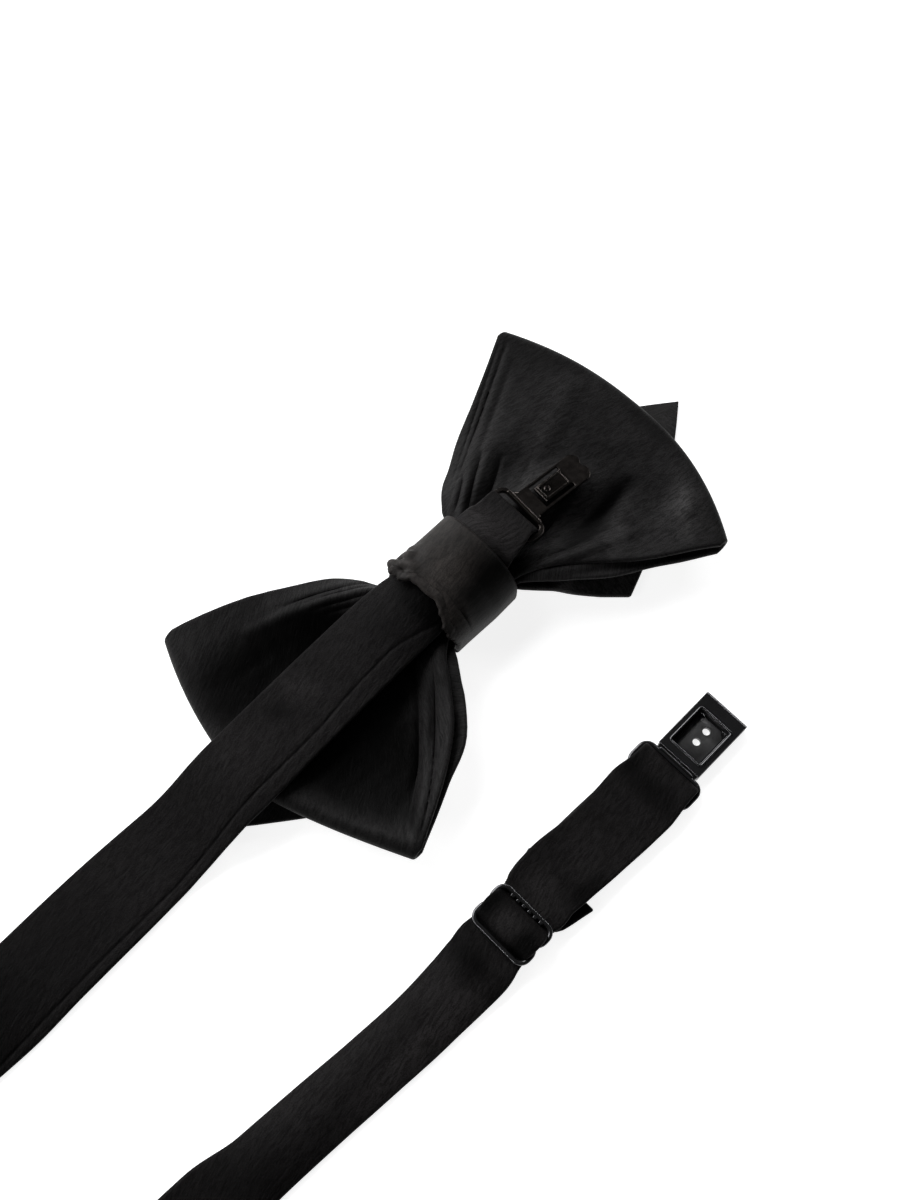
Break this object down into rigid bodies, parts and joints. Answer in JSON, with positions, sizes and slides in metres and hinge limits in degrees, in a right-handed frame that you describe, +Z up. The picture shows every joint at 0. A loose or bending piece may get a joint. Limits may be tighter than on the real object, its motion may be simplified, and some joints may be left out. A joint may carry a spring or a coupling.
{
  "type": "diamond point bow tie",
  "caption": "Pre-tied satin bow tie with pointed front layer, folded back loop, wrapped knot and an adjustable neck strap with slide, hook and socket.",
  "frame": {"origin": "on the surface the bow tie lies on, under the middle of the knot, at the flat underside of the knot band", "axes": "+X along the bow to the side the hook points to, +Y to the bow's upper edge, +Z up, out of the back of the bow; the neck strap leaves along -X and comes back at negative Y"},
  "size_m": [0.2499, 0.1044, 0.0184],
  "materials": {
    "satin": "black satin, folded, soft sheen",
    "satin_front": "black satin, pressed flat",
    "band_satin": "black satin stretched over the knot, brighter sheen, raw left edge",
    "strap_satin": "black satin tube with a stitched seam along one edge",
    "blackened_metal": "stamped steel, gunmetal black",
    "black_enamel_slide": "cast metal, glossy black enamel",
    "black_enamel_socket": "cast metal, satin black enamel"
  },
  "bodies": {
    "root": {"back_loop": "satin", "front_diamond": "satin_front", "knot_band": "band_satin", "neck_strap": "strap_satin", "hook_clasp": "blackened_metal", "adjuster_slide": "black_enamel_slide", "socket_clasp": "black_enamel_socket"}
  },
  "joints": []
}
